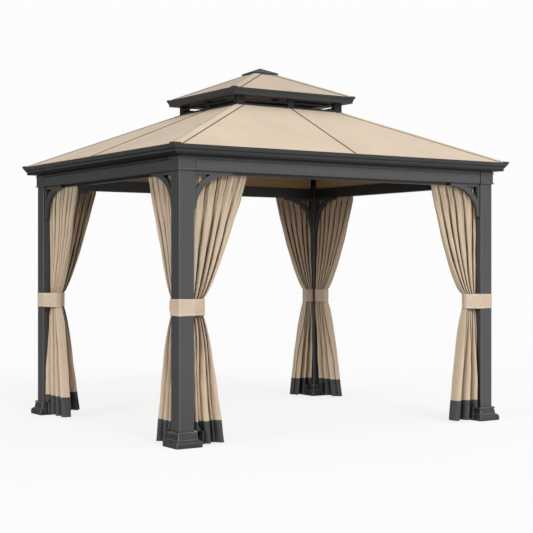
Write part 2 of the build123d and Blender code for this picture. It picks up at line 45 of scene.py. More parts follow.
# Sizes of the part, in metres.
HALF_X = 1.650
HALF_Y = 1.385
POST = 0.135
BOX_BOTTOM = 2.150
CURTAIN_OUTER = 0.049
CURTAIN_INNER = 0.086
BUNDLE_OUTER = 0.060
BUNDLE_INNER = 0.118
FOOT_OUTER = -0.050
FOOT_INNER = 0.150
BRACKET_FOOT = 1.850
FASCIA_BOTTOM = 2.171
BEAD_LINE_BOTTOM = 2.264
BEAD_LINE_TOP = 2.276
TRIM_LIP = 2.309
TRIM_LINE = 2.329
POST_CORNER = 0.006
BAND_LOW = 1.026
BAND_HIGH = 1.162
FOOT_SPARE = 0.018
HEM_TOP = 0.195
FLOOR_GAP = 0.012
PLINTH_TOP = 0.122
PLINTH_CLEAR = 0.052
FAR_NARROW = {"x": 0.045, "y": 0.075}
CAPITAL_CLEAR = 0.018
CURTAIN_HUNG = 0.010
HEM_OVERLAP = 0.012
CURTAIN_THICK = 0.0014
HEM_THICK = 0.0034
STRAP_THICK = 0.0018

# Powers of the height's share by which the tied cloth opens above and below its band.
SWING = 0.75
FRONT_RIGHT_SWING = 0.66
FLARE = 0.80

# How much the cloth is pleated near the beams, and between which heights the pleats grow.
PLEATS = 0.42
PLEATS_LOW = 1.70
PLEATS_HIGH = 2.08

# Points of the cloth's formula and of its mesh across a curtain, and halvings of a fold's depth.
FINE_POINTS = 1200
COLUMNS = 193
HALVINGS = 18

CORNERS = {
    "front_left": (-1, -1),
    "front_right": (1, -1),
    "back_left": (-1, 1),
    "back_right": (1, 1),
}

# Widths of a curtain at the top, the tie band and the foot, and its count of folds,
# by whether it hangs at the front or the back and by the way it runs.
RUNS = {
    (-1, "x"): (0.545, 0.130, 0.285, 6),
    (-1, "y"): (0.500, 0.112, 0.260, 6),
    (1, "x"): (0.455, 0.095, 0.270, 6),
    (1, "y"): (0.620, 0.165, 0.420, 7),
}

# Cloth cut sizes, in metres.
CURTAIN_CUT = (1.00, 1.98)
HEM_CUT = (1.00, 0.185)
STRAP_HEIGHT = BAND_HIGH - BAND_LOW

# One turn of the weave, radians of the stitches' pattern per metre, and a seam's way in.
THREAD = 0.0014
STITCH_TURN = 1300.0
SEAM_INSET = 0.027
# Share of the painted crease shade above the band.
CREASE_SHADE = 0.92

# Hip lines: plan half sizes and heights at the low and the high end of each roof.
LOWER_EAVE, LOWER_EAVE_Z = (1.750, 1.485), 2.365
LOWER_RING, LOWER_RING_Z = (0.575, 0.515), 2.847
UPPER_EAVE, UPPER_EAVE_Z = (0.658, 0.598), 2.987
UPPER_PEAK, UPPER_PEAK_Z = (0.0, 0.0), 3.258
COVER_HALF_WIDTH = 0.047

# The bright side of the studio, as a direction in plan.
BRIGHT_SIDE = (0.55, -0.80)

# The camera that took the photo: pixels of the photo, metres and radians.
PHOTO_WIDTH = 533.0
PHOTO_FOCAL = 1255.84
PHOTO_CENTRE_Y = 264.09
SENSOR = 36.0
CAMERA_PLACE = (-6.4553, -9.9181, 1.4348)
CAMERA_TURN = -0.5822


# Materials


def blank(name):
    material = bpy.data.materials.new(name)
    material.use_nodes = True
    tree = material.node_tree
    tree.nodes.clear()
    output = tree.nodes.new("ShaderNodeOutputMaterial")
    shader = tree.nodes.new("ShaderNodeBsdfPrincipled")
    tree.links.new(shader.outputs[0], output.inputs[0])
    return material, tree, shader, output


def add(tree, kind, links=None, **settings):
    """A node with its settings; links maps an input to a socket or a value."""
    made = tree.nodes.new(kind)
    for key, value in settings.items():
        setattr(made, key, value)
    for key, value in (links or {}).items():
        socket = made.inputs[key]
        if isinstance(value, bpy.types.NodeSocket):
            tree.links.new(value, socket)
        else:
            socket.default_value = value
    return made


def maths(tree, operation, a, b=0.0, c=0.0):
    return add(tree, "ShaderNodeMath", {0: a, 1: b, 2: c}, operation=operation).outputs[0]


def dot(tree, a, b):
    links = {0: a, 1: b}
    return add(tree, "ShaderNodeVectorMath", links, operation="DOT_PRODUCT").outputs["Value"]


def upward(tree, vector):
    return add(tree, "ShaderNodeSeparateXYZ", {0: vector}).outputs["Z"]


def ramp(tree, value, low, high, out_low=0.0, out_high=1.0):
    made = add(
        tree,
        "ShaderNodeMapRange",
        {"Value": value, "From Min": low, "From Max": high, "To Min": out_low, "To Max": out_high},
    )
    return made.outputs["Result"]


def noise(tree, vector, scale, detail=3.0, rough=0.55):
    made = add(
        tree,
        "ShaderNodeTexNoise",
        {"Vector": vector, "Scale": scale, "Detail": detail, "Roughness": rough},
    )
    return made.outputs["Fac"]


def blend(tree, factor, a, b, mode="MIX"):
    made = add(tree, "ShaderNodeMix", data_type="RGBA", blend_type=mode)
    for socket, value in ((made.inputs[0], factor), (made.inputs[6], a), (made.inputs[7], b)):
        if isinstance(value, bpy.types.NodeSocket):
            tree.links.new(value, socket)
        else:
            socket.default_value = value
    return made.outputs[2]


def rgb(*colour):
    return (colour[0], colour[1], colour[2], 1.0)


def scaled(colour, factor):
    return rgb(*(channel * factor for channel in colour[:3]))


def painted_corner_highlights(tree, place):
    """Mask for a painted highlight: one along the rounded corners of the posts, and zero elsewhere."""
    part = add(tree, "ShaderNodeSeparateXYZ", {0: place})
    near = []
    for axis, half in (("X", HALF_X), ("Y", HALF_Y)):
        size = maths(tree, "ABSOLUTE", part.outputs[axis])
        outer = maths(tree, "ABSOLUTE", maths(tree, "SUBTRACT", size, half))
        inner = maths(tree, "ABSOLUTE", maths(tree, "SUBTRACT", size, half - POST))
        nearest = maths(tree, "MINIMUM", outer, inner)
        near.append(ramp(tree, nearest, POST_CORNER + 0.002, POST_CORNER - 0.001))
    return maths(tree, "MULTIPLY", near[0], near[1])


def coated_metal(
    name,
    colour,
    roughness,
    edge_highlight,
    radius=0.004,
    grain=1.0,
    specular=0.5,
    closed_in=0.03,
    corners=False,
    beam_and_trim_shade=False,
    inner=0.0,
    underside_shade=None,
):
    """Powder coat: orange peel, faint mottling, rounded edges with a patchy painted highlight, painted
    shade in recesses.

    With corners, a painted highlight lightens the rounded corners of the posts. With the flag set for
    the beams and the eave trims, painted shade darkens the strip under the fascia, the shadow gap under
    the eave trim and two shadow lines at the bead and the trim, and the faces that look inward, by the
    share inner. What looks down takes the underside colour, painted shade under the roof.
    """
    material, tree, shader = blank(name)[:3]
    place = add(tree, "ShaderNodeTexCoord").outputs["Object"]
    mottle = noise(tree, place, 2.2, 5.0)
    cloud = noise(tree, place, 14.0, 4.0)
    speck = noise(tree, place, 420.0, 2.0)
    base = blend(tree, ramp(tree, mottle, 0.3, 0.7), scaled(colour, 0.93), scaled(colour, 1.07))
    base = blend(tree, ramp(tree, cloud, 0.25, 0.75, 0.0, 0.35), base, scaled(colour, 0.88))
    base = blend(tree, ramp(tree, speck, 0.62, 0.75, 0.0, 0.25), base, scaled(colour, 1.35))
    round_edge = add(tree, "ShaderNodeBevel", {"Radius": radius}, samples=6)
    flat = add(tree, "ShaderNodeNewGeometry").outputs["Normal"]
    # Painted highlight: the edges that the bevel finds are lightened, in patches.
    edge = ramp(tree, dot(tree, round_edge.outputs[0], flat), 0.995, 0.80)
    painted_edge_highlight = maths(tree, "MULTIPLY", edge, ramp(tree, cloud, 0.35, 0.65, 0.55, 1.0))
    base = blend(tree, painted_edge_highlight, base, edge_highlight)
    # Painted highlight along the rounded corners of the posts.
    if corners:
        base = blend(tree, painted_corner_highlights(tree, place), base, scaled(colour, 1.65))
    if beam_and_trim_shade:
        # Painted shade: the strip under the fascia, the shadow gap under the eave trim and two shadow
        # lines are darkened, then the faces that look inward.
        height = upward(tree, place)
        dark = ramp(tree, height, FASCIA_BOTTOM + 0.001, FASCIA_BOTTOM - 0.001)
        above = ramp(tree, height, BEAD_LINE_TOP - 0.003, BEAD_LINE_TOP - 0.001)
        below = ramp(tree, height, TRIM_LIP, TRIM_LIP - 0.002)
        dark = maths(tree, "MAXIMUM", dark, maths(tree, "MULTIPLY", above, below))
        for line in (BEAD_LINE_BOTTOM - 0.004, TRIM_LINE):
            away = maths(tree, "ABSOLUTE", maths(tree, "SUBTRACT", height, line))
            dark = maths(tree, "MAXIMUM", dark, ramp(tree, away, 0.0060, 0.0042))
        base = blend(tree, dark, base, scaled(colour, 0.04))
        inward = ramp(tree, dot(tree, place, flat), -0.02, -0.05, 0.0, inner)
        base = blend(tree, inward, base, scaled(colour, 0.25))
    # Painted shade: faces that look down take a browner colour.
    if underside_shade:
        base = blend(tree, ramp(tree, upward(tree, flat), 0.1, -0.1), base, underside_shade)
    # Painted shade in recesses, from ambient occlusion.
    closed = add(tree, "ShaderNodeAmbientOcclusion", {"Distance": closed_in}, samples=4)
    recess_shade = ramp(tree, closed.outputs["AO"], 0.72, 0.28, 0.0, 0.85)
    base = blend(tree, recess_shade, base, scaled(colour, 0.08))
    tree.links.new(base, shader.inputs["Base Color"])
    shader.inputs["Specular IOR Level"].default_value = specular
    rough = ramp(tree, cloud, 0.3, 0.7, roughness - 0.05, roughness + 0.06)
    tree.links.new(rough, shader.inputs["Roughness"])
    peel = noise(tree, place, 650.0, 2.0)
    bump = add(
        tree,
        "ShaderNodeBump",
        {"Strength": 0.10 * grain, "Distance": 0.0006, "Height": peel, "Normal": round_edge.outputs[0]},
    )
    tree.links.new(bump.outputs[0], shader.inputs["Normal"])
    return material


def stitches(tree, along, away):
    """A row of stitches: one on the dashes along a seam where away is near zero."""
    wave = maths(tree, "SINE", maths(tree, "MULTIPLY", along, STITCH_TURN))
    near = ramp(tree, maths(tree, "ABSOLUTE", away), 0.0016, 0.0007)
    return maths(tree, "MULTIPLY", near, maths(tree, "GREATER_THAN", wave, -0.35))


def woven(
    name,
    light,
    dark,
    cut,
    translucent,
    stitch_rows,
    crease_shade,
    sheen=0.06,
    closed_in=0.05,
    crease_shade_low=CREASE_SHADE,
    level_shade=False,
):
    """Cloth with a plain weave, slubs, a hem on its long edges and rows of stitches.

    Painted shade: the creases, found by ambient occlusion, take the crease colour, by one share near
    the foot and another above the band. With the level flag, what lies nearly level takes this painted
    shade too.
    """
    material, tree, shader, output = blank(name)
    flat = add(tree, "ShaderNodeUVMap", uv_map="cloth").outputs[0]
    place = add(tree, "ShaderNodeTexCoord").outputs["Object"]
    part = add(tree, "ShaderNodeSeparateXYZ", {0: flat})
    across, up = part.outputs["X"], part.outputs["Y"]
    turn = 2 * math.pi / THREAD
    warp = maths(tree, "SINE", maths(tree, "MULTIPLY", across, turn))
    weft = maths(tree, "SINE", maths(tree, "MULTIPLY", up, turn))
    weave = maths(tree, "MULTIPLY", warp, weft)
    slubs = []
    for scale in ((260.0, 9.0, 1.0), (9.0, 320.0, 1.0)):
        stretch = add(tree, "ShaderNodeMapping", {"Vector": flat, "Scale": scale}).outputs[0]
        slubs.append(noise(tree, stretch, 1.0, 3.0))
    threads = maths(tree, "MULTIPLY", maths(tree, "ADD", slubs[0], slubs[1]), 0.5)
    shade = noise(tree, place, 5.0, 4.0)
    base = blend(tree, ramp(tree, shade, 0.3, 0.7), dark, light)
    base = blend(tree, ramp(tree, threads, 0.4, 0.62, 0.0, 0.45), base, scaled(dark, 0.82))
    base = blend(tree, ramp(tree, weave, -1.0, 1.0, 0.10, 0.0), base, scaled(dark, 0.6))
    to_edge = maths(tree, "MINIMUM", across, maths(tree, "SUBTRACT", cut[0], across))
    doubled = ramp(tree, to_edge, 0.031, 0.029)
    base = blend(tree, maths(tree, "MULTIPLY", doubled, 0.22), base, dark)
    line = stitches(tree, up, maths(tree, "SUBTRACT", to_edge, SEAM_INSET))
    for row in stitch_rows:
        seam = stitches(tree, across, maths(tree, "SUBTRACT", up, row))
        line = maths(tree, "MAXIMUM", line, seam)
    base = blend(tree, maths(tree, "MULTIPLY", line, 0.75), base, scaled(light, 1.25))
    # Painted shade in the creases, from ambient occlusion.
    reach = {"Distance": closed_in}
    closed = add(tree, "ShaderNodeAmbientOcclusion", reach, samples=4, only_local=True)
    height = upward(tree, place)
    strength = ramp(tree, height, BAND_LOW - 0.30, BAND_HIGH + 0.10, crease_shade_low, CREASE_SHADE)
    start = ramp(tree, height, BAND_LOW - 0.30, BOX_BOTTOM - 0.20, 0.62, 0.86)
    crease_shade_mask = ramp(tree, closed.outputs["AO"], start, maths(tree, "SUBTRACT", start, 0.40))
    base = blend(tree, maths(tree, "MULTIPLY", crease_shade_mask, strength), base, crease_shade)
    # Painted shade on what lies nearly level.
    if level_shade:
        facing = add(tree, "ShaderNodeNewGeometry").outputs["True Normal"]
        tilt = maths(tree, "ABSOLUTE", upward(tree, facing))
        base = blend(tree, ramp(tree, tilt, 0.30, 0.70), base, crease_shade)
    tree.links.new(base, shader.inputs["Base Color"])
    shader.inputs["Roughness"].default_value = 0.86
    shader.inputs["Sheen Weight"].default_value = sheen
    shader.inputs["Sheen Roughness"].default_value = 0.45
    shader.inputs["Sheen Tint"].default_value = light
    shader.inputs["Specular IOR Level"].default_value = 0.15
    relief = maths(tree, "ADD", maths(tree, "MULTIPLY", weave, 0.35), threads)
    relief = maths(tree, "SUBTRACT", relief, maths(tree, "MULTIPLY", line, 1.4))
    crease = noise(tree, place, 38.0, 4.0)
    soft = add(
        tree,
        "ShaderNodeBump",
        {"Strength": 0.25, "Distance": 0.006, "Height": crease},
    )
    bump = add(
        tree,
        "ShaderNodeBump",
        {"Strength": 0.45, "Distance": 0.0006, "Height": relief, "Normal": soft.outputs[0]},
    )
    tree.links.new(bump.outputs[0], shader.inputs["Normal"])
    if translucent:
        warm = blend(tree, 1.0, base, rgb(0.95, 0.68, 0.44), "MULTIPLY")
        through = add(tree, "ShaderNodeBsdfTranslucent", {"Color": warm, "Normal": bump.outputs[0]})
        links = {0: translucent, 1: shader.outputs[0], 2: through.outputs[0]}
        mixed = add(tree, "ShaderNodeMixShader", links)
        tree.links.new(mixed.outputs[0], output.inputs[0])
    return material


FRAME = rgb(0.058, 0.058, 0.059)
frame_metal = coated_metal(
    "frame_metal",
    FRAME,
    0.36,
    rgb(0.24, 0.24, 0.24),
    radius=0.005,
    specular=0.60,
    closed_in=0.045,
    # Painted highlight along the posts' rounded corners.
    corners=True,
)
beam_metal = coated_metal(
    "beam_metal",
    FRAME,
    0.38,
    scaled(FRAME, 1.4),
    radius=0.003,
    specular=0.70,
    closed_in=0.035,
    # Painted shade lines on the fascia, and painted shade on the faces that look inward.
    beam_and_trim_shade=True,
    inner=1.0,
)
plinth_metal = coated_metal(
    "plinth_metal",
    scaled(FRAME, 0.66),
    0.42,
    rgb(0.42, 0.42, 0.42),
    radius=0.010,
    specular=0.50,
    closed_in=0.050,
)
trim_metal = coated_metal(
    "trim_metal",
    rgb(0.043, 0.043, 0.044),
    0.42,
    rgb(0.10, 0.10, 0.10),
    radius=0.003,
    specular=0.40,
    # Painted shade lines on the eave trim.
    beam_and_trim_shade=True,
)
# A darker copy of the frame coat for the upper trims: painted shade against the light bounced from the
# lower roof.
upper_trim_shade_metal = coated_metal(
    "upper_trim_shade_metal",
    rgb(0.040, 0.041, 0.042),
    0.42,
    rgb(0.14, 0.14, 0.14),
    radius=0.003,
    specular=0.32,
)
# A near-black copy of the frame coat for the vent frame: painted shade in the vent.
vent_shade_metal = coated_metal(
    "vent_shade_metal",
    rgb(0.016, 0.016, 0.017),
    0.50,
    rgb(0.10, 0.10, 0.10),
    radius=0.003,
    specular=0.30,
)
# A darker copy of the frame coat for the rafters under the roof: painted shade.
inner_shade_metal = coated_metal(
    "inner_shade_metal",
    rgb(0.024, 0.024, 0.025),
    0.50,
    rgb(0.06, 0.06, 0.06),
    radius=0.003,
    specular=0.25,
)
# Dark seam strips; their edges take a strong painted highlight.
strip_metal = coated_metal(
    "strip_metal", rgb(0.17, 0.115, 0.072), 0.55, rgb(0.62, 0.50, 0.38), radius=0.002
)
# Dark beads: their colour paints the shadow lines along the hip covers' edges.
bead_shade_metal = coated_metal("bead_shade_metal", rgb(0.095, 0.070, 0.048), 0.6, rgb(0.12, 0.09, 0.065), radius=0.001)
ROOF = rgb(0.70, 0.572, 0.438)
# Browner colour for the roof's downward faces: painted shade under the roof.
UNDERSIDE_SHADE = rgb(0.64, 0.42, 0.215)
roof_metal = coated_metal(
    "roof_metal", ROOF, 0.62, scaled(ROOF, 1.12), radius=0.002, grain=1.6, underside_shade=UNDERSIDE_SHADE
)
# A darker copy of the roof colour for the upper tier: painted shade. Its underside is darker still,
# painted shade in the vent.
upper_shade_metal = coated_metal(
    "upper_shade_metal",
    scaled(ROOF, 0.82),
    0.62,
    scaled(ROOF, 0.95),
    radius=0.002,
    grain=1.6,
    underside_shade=scaled(UNDERSIDE_SHADE, 0.35),
)
# A brown colour for the boards under the roof: painted shade.
board_shade_metal = coated_metal(
    "board_shade_metal", rgb(0.40, 0.265, 0.14), 0.6, rgb(0.42, 0.31, 0.20), radius=0.002, closed_in=0.12
)
curtain_cloth = woven(
    "curtain_cloth",
    rgb(0.89, 0.715, 0.533),
    rgb(0.83, 0.66, 0.484),
    CURTAIN_CUT,
    0.17,
    (0.011, CURTAIN_CUT[1] - 0.020, CURTAIN_CUT[1] - 0.045),
    # Colour of the painted crease shade.
    rgb(0.085, 0.050, 0.028),
    crease_shade_low=0.52,
)
hem_cloth = woven(
    "hem_cloth",
    rgb(0.112, 0.112, 0.115),
    rgb(0.064, 0.064, 0.066),
    HEM_CUT,
    0.0,
    (0.010, HEM_CUT[1] - 0.006),
    # Colour of the painted crease shade.
    rgb(0.003, 0.003, 0.003),
    sheen=0.22,
    closed_in=0.12,
    # Painted shade on the level parts of the hem.
    level_shade=True,
)
band_cloth = woven(
    "band_cloth",
    rgb(0.81, 0.655, 0.505),
    rgb(0.735, 0.59, 0.45),
    (9.0, STRAP_HEIGHT),
    0.06,
    (0.009, 0.016, STRAP_HEIGHT - 0.016, STRAP_HEIGHT - 0.009),
    # Colour of the painted crease shade.
    rgb(0.25, 0.17, 0.11),
    sheen=0.15,
)

SLOT_MATERIALS = {
    "frame_metal": frame_metal,
    "trim_metal": trim_metal,
    "strip_metal": strip_metal,
    "roof_metal": roof_metal,
    "soffit_board": board_shade_metal,
    "curtain_cloth": curtain_cloth,
    "hem_cloth": hem_cloth,
    "band_cloth": band_cloth,
}

# Nodes that look different from the rest of their slot, by the start of their names.
NODE_MATERIALS = {
    ("hip_rafters", "mid_rafters", "upper_rafters"): inner_shade_metal,
    ("beam",): beam_metal,
    ("plinth",): plinth_metal,
    ("upper_eave", "upper_corner", "roof_cap"): upper_trim_shade_metal,
    ("vent_frame",): vent_shade_metal,
    ("upper_panel", "upper_hip_covers"): upper_shade_metal,
}
for entry in frame["record"]["subparts"]:
    cad = nodes[entry["node"]]
    slot = entry["material_slot"]
    material = SLOT_MATERIALS[slot]
    for starts, own_material in NODE_MATERIALS.items():
        if entry["node"].startswith(starts):
            material = own_material
    if not cad.material_slots:
        cad.data.materials.append(material)
    for place in cad.material_slots:
        place.material = material


# Cloth


def mesh_sheet(name, points, flat, material, thickness):
    """A sheet from a grid of points, with its flat cut as UV coordinates in metres."""
    rows, columns = points.shape[:2]
    index = np.arange(rows * columns).reshape(rows, columns)
    faces = np.stack(
        [index[:-1, :-1], index[:-1, 1:], index[1:, 1:], index[1:, :-1]], axis=-1
    ).reshape(-1, 4)
    mesh = bpy.data.meshes.new(name)
    mesh.from_pydata(points.reshape(-1, 3).tolist(), [], faces.tolist())
    layer = mesh.uv_layers.new(name="cloth")
    layer.data.foreach_set("uv", flat.reshape(-1, 2)[faces.reshape(-1)].astype(np.float32).ravel())
    mesh.polygons.foreach_set("use_smooth", np.ones(len(faces), bool))
    mesh.materials.append(material)
    mesh.update()
    piece = bpy.data.objects.new(name, mesh)
    bpy.context.scene.collection.objects.link(piece)
    solid = piece.modifiers.new("thickness", "SOLIDIFY")
    solid.thickness = thickness
    solid.offset = 0.0
    return piece


def smooth(low, high, value):
    share = np.clip((value - low) / (high - low), 0, 1)
    return share * share * (3 - 2 * share)


def between(first, last, share):
    return first + (last - first) * share


def spread(height, run, swing, foot_end):
    """Start, end, outer and inner face of a tied curtain at a height."""
    top, bundle = run[:2]
    if height > BAND_HIGH:
        share = min(1.0, (height - BAND_HIGH) / (BOX_BOTTOM - BAND_HIGH))
        settled = min(1.0, (height - BAND_HIGH) / (BRACKET_FOOT - BAND_HIGH))
        end = between(bundle, top, share**swing)
        outer = between(BUNDLE_OUTER, CURTAIN_OUTER, settled)
        inner = between(BUNDLE_INNER, CURTAIN_INNER, settled)
    else:
        share = max(0.0, BAND_LOW - height) / (BAND_LOW - FLOOR_GAP)
        end = between(bundle, foot_end, share**FLARE)
        outer = between(BUNDLE_OUTER, FOOT_OUTER, share**FLARE)
        inner = between(BUNDLE_INNER, FOOT_INNER, share**FLARE)
    start = max(0.006, inner - POST + 0.006)
    start = start + (max(start, CAPITAL_CLEAR + 0.004) - start) * float(smooth(2.00, 2.07, height))
    narrow = float(smooth(BOX_BOTTOM - 0.030, BOX_BOTTOM - 0.003, height))
    middle = (outer + inner) / 2
    outer = between(outer, middle - 0.0105, narrow)
    inner = between(inner, middle + 0.0105, narrow)
    return POST + start, POST + end - 0.003, outer + 0.001, inner - 0.001


class Folds:
    """One gathered curtain: round folds of uneven width that run its whole height."""

    def __init__(self, seed, run, turned, swing, foot):
        rng = np.random.default_rng(seed)
        self.swing = swing
        self.foot = foot
        self.run = run
        self.turned = turned
        self.count = run[3]
        self.share = np.linspace(0, 1, COLUMNS)
        self.fine = np.linspace(0, 1, FINE_POINTS)
        large = (self.count - np.arange(self.count) + turned) % 2 == 1
        high = rng.uniform(0.72, 1.28, self.count)
        low = np.where(large, 1.60, 0.34) * rng.uniform(0.80, 1.20, self.count)
        high[-1] = 0.85
        self.edges_high = np.concatenate([[0], np.cumsum(high)]) / high.sum()
        self.edges_low = np.concatenate([[0], np.cumsum(low)]) / low.sum()
        self.at = np.arange(self.count + 1)
        self.ridge_high = rng.uniform(0.80, 1.0, self.count)
        self.ridge_low = np.where(large, 1.0, 0.50)
        self.ridge_high[-1] = 1.0
        self.meander = rng.uniform(0, 2 * math.pi, (3, self.count + 1))
        self.low = rng.uniform(0, 2 * math.pi, 6)
        self.lean = rng.uniform(-0.10, 0.22, self.count)

    def row(self, height):
        """Plan points of the cloth at one height, measured in from the post's outer corner."""
        start, end, outer, inner = spread(height, self.run, self.swing, self.foot)
        width, room = end - start, inner - outer
        fine = self.fine
        above = max(0.0, height - BAND_HIGH)
        below = max(0.0, BAND_LOW - height)
        free = float(smooth(0.03, 0.45, max(above, below)))
        fan = float(smooth(0.06, 0.70, below))
        edges = between(self.edges_high, self.edges_low, fan)
        turns = between(0.5, self.count, np.interp(fine, edges, self.at) / self.count)
        slow, quick = height * 2.6 + self.meander[0], height * 6.1 + self.meander[1]
        sway = np.interp(turns, self.at, 0.15 * np.sin(slow) + 0.05 * np.sin(quick))
        turns = turns + sway * free * (1 - 0.6 * fan) * np.sin(math.pi * fine)
        middle = self.at[:-1] + 0.5
        pitch = np.interp(turns, middle, np.diff(edges)) * width
        lean = np.interp(turns, middle, self.lean) * free
        ridge = np.interp(turns, middle, between(self.ridge_high, self.ridge_low, fan))
        breath = np.sin(height * 2.1 + np.interp(turns, self.at, self.meander[2]))
        swell = 1 - 0.10 * free * (1 - fan) * (1 + breath)
        reach = between(between(0.92, 0.76, free), 0.88, fan)
        across = np.clip((turns % 1.0 - 0.5) * 2 / reach, -1, 1)
        arch = (1 - across**2) ** 0.62
        wave = 2 * arch * ridge * swell - 1
        heading = float(smooth(BOX_BOTTOM - 0.06, BOX_BOTTOM - 0.005, height))
        phase = 2 * math.pi * turns
        pleated = PLEATS * float(smooth(PLEATS_LOW, PLEATS_HIGH, height)) * (1 - heading)
        pleats = np.sin(phase * 3 + 0.7) * (0.45 * heading + pleated)
        wave = wave * (1 - 0.65 * heading - pleated) + pleats
        if self.turned:
            wave = -wave
        slide = (lean * arch - 0.075 * np.sin(phase) * (0.4 + 0.6 * free)) * pitch
        u = width * fine + slide
        u = start + width * (u - u.min()) / (u.max() - u.min())

        def length(depth):
            return float(np.hypot(np.diff(u), depth * np.diff(wave)).sum())

        depth = room / 2 / max(1.0, float(np.abs(wave).max()))
        if length(depth) > CURTAIN_CUT[0]:
            low, high = 0.0, depth
            for _ in range(HALVINGS):
                depth = (low + high) / 2
                if length(depth) > CURTAIN_CUT[0]:
                    high = depth
                else:
                    low = depth
        v = (outer + inner) / 2 - depth * wave
        run = np.concatenate([[0], np.cumsum(np.hypot(np.diff(u), np.diff(v)))])
        even = between(fine * run[-1], run, 0.35)
        u = np.interp(self.share * run[-1], even, u)
        v = np.interp(self.share * run[-1], even, v)
        share = self.share
        rumple = np.sin(share * 37 + height * 8 + self.low[1])
        rumple = rumple * np.sin(height * 15 + share * 11 + self.low[2])
        v = v + rumple * 0.0018 * free
        u = u + np.sin(height * 21 + share * 29 + self.low[3]) * 0.0012 * free
        pulled = float(smooth(0.30, 0.02, above)) if above else float(smooth(0.22, 0.02, below))
        v = v + pulled * 0.0016 * np.sin(share * 150 + self.low[4])
        rise = PLINTH_TOP + 0.002 + 0.13 * smooth(0.02, 0.07, u - start)
        beside = (PLINTH_CLEAR + 0.006) * smooth(0.0, 1.0, (rise - height) / (rise - PLINTH_TOP))
        u = u + beside * smooth(0.09, 0.0, u - start)
        return u, v

    def grid(self, heights, corner, swap):
        sx, sy = CORNERS[corner]
        points = np.zeros((len(heights), len(self.share), 3))
        for number, height in enumerate(heights):
            u, v = self.row(height)
            if swap:
                u, v = v, u
            points[number, :, 0] = sx * (HALF_X - u)
            points[number, :, 1] = sy * (HALF_Y - v)
            points[number, :, 2] = height
        return points

    def cut(self, heights, low, width):
        flat = np.zeros((len(heights), len(self.share), 2))
        flat[:, :, 0] = self.share[None, :] * width
        flat[:, :, 1] = (np.array(heights) - low)[:, None]
        return flat


def make_curtain(corner, swap, seed):
    run = "y" if swap else "x"
    inward = corner == "back_right" or (corner, run) in (("back_left", "x"), ("front_right", "y"))
    size = RUNS[CORNERS[corner][1], run]
    swing = FRONT_RIGHT_SWING if corner == "front_right" else SWING
    foot = size[2] - FAR_NARROW[run] if corner == "back_right" else size[2] + FOOT_SPARE
    folds = Folds(seed, size, inward, swing, foot)
    low = HEM_TOP - HEM_OVERLAP
    heights = list(np.linspace(low, BOX_BOTTOM + CURTAIN_HUNG, 112))
    points = folds.grid(heights, corner, swap)
    flat = folds.cut(heights, low, CURTAIN_CUT[0])
    curtain = mesh_sheet(f"curtain_{corner}_{run}", points, flat, curtain_cloth, CURTAIN_THICK)
    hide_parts(f"curtains_{corner}")
    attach(curtain, "root")
    heights = np.linspace(FLOOR_GAP + 0.004, HEM_TOP, 15)
    heights = sorted([*heights, PLINTH_TOP, PLINTH_TOP + 0.002])
    points = folds.grid(heights, corner, swap)
    flat = folds.cut(heights, FLOOR_GAP, HEM_CUT[0])
    hem = mesh_sheet(f"hem_{corner}_{run}", points, flat, hem_cloth, HEM_THICK)
    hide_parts(f"hems_{corner}")
    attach(hem, "root")


def rounded_path(points, radii, spacing):
    """A polyline with its corners rounded, sampled at an even spacing."""
    places = []
    for index, point in enumerate(points):
        here = np.array(point)
        radius = radii[index]
        if radius == 0:
            places.append(here)
            continue
        before = np.array(points[index - 1]) - here
        after = np.array(points[index + 1]) - here
        before = before / np.linalg.norm(before)
        after = after / np.linalg.norm(after)
        half = math.acos(float(np.clip(before @ after, -1, 1))) / 2
        reach = radius / math.tan(half)
        bisector = (before + after) / np.linalg.norm(before + after)
        centre = here + bisector * radius / math.sin(half)
        first = here + before * reach - centre
        last = here + after * reach - centre
        turn = math.atan2(first[0] * last[1] - first[1] * last[0], float(first @ last))
        for step in np.linspace(0, 1, 9):
            angle = turn * step
            places.append(
                centre
                + np.array(
                    [
                        first[0] * math.cos(angle) - first[1] * math.sin(angle),
                        first[0] * math.sin(angle) + first[1] * math.cos(angle),
                    ]
                )
            )
    places = np.array(places)
    runs = np.concatenate([[0], np.cumsum(np.linalg.norm(np.diff(places, axis=0), axis=1))])
    at = np.linspace(0, runs[-1], max(8, int(runs[-1] / spacing)))
    return np.stack([np.interp(at, runs, places[:, k]) for k in (0, 1)], axis=1), at


